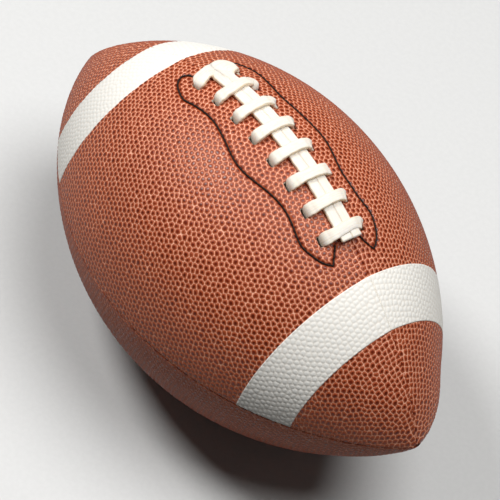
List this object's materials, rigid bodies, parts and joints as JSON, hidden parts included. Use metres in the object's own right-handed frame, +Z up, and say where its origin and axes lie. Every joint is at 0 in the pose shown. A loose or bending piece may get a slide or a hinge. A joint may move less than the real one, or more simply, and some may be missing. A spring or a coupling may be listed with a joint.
{
  "type": "american football",
  "caption": "Pointed inflatable ball of pebbled panels with flat lacing over a stitched facing and painted stripes near both tips.",
  "frame": {"origin": "on the ground under the middle of the ball, at the lowest edges of its bottom seam", "axes": "+X along the long axis to the near tip, +Y to the ball's right side, +Z up through the lacing"},
  "size_m": [0.249, 0.1496, 0.1538],
  "materials": {
    "cover": "pebbled, slightly tacky satin",
    "lining": "woven",
    "stripe_paint": "satin paint over the pebbles",
    "facing": "matte",
    "black_thread": "twisted thread",
    "seam_thread": "waxed thread",
    "guard_cloth": "woven",
    "lace_vinyl": "soft vinyl, satin",
    "bladder_rubber": "smooth",
    "valve_rubber": "matte"
  },
  "bodies": {
    "root": {"panel_lace_left": "cover", "panel_lace_right": "cover", "panel_under_left": "cover", "panel_under_right": "cover", "lining_lace_left": "lining", "lining_lace_right": "lining", "lining_under_left": "lining", "lining_under_right": "lining", "stripe_left_near": "stripe_paint", "stripe_left_far": "stripe_paint", "stripe_right_near": "stripe_paint", "stripe_right_far": "stripe_paint", "lace_facing_left": "facing", "lace_facing_right": "facing", "facing_stitching_left": "black_thread", "facing_stitching_right": "black_thread", "seam_thread_top": "seam_thread", "seam_thread_left": "seam_thread", "seam_thread_bottom": "seam_thread", "seam_thread_right": "seam_thread", "lace_guard": "guard_cloth", "lace": "lace_vinyl", "bladder": "bladder_rubber", "valve_patch": "valve_rubber", "valve": "valve_rubber"}
  },
  "joints": []
}
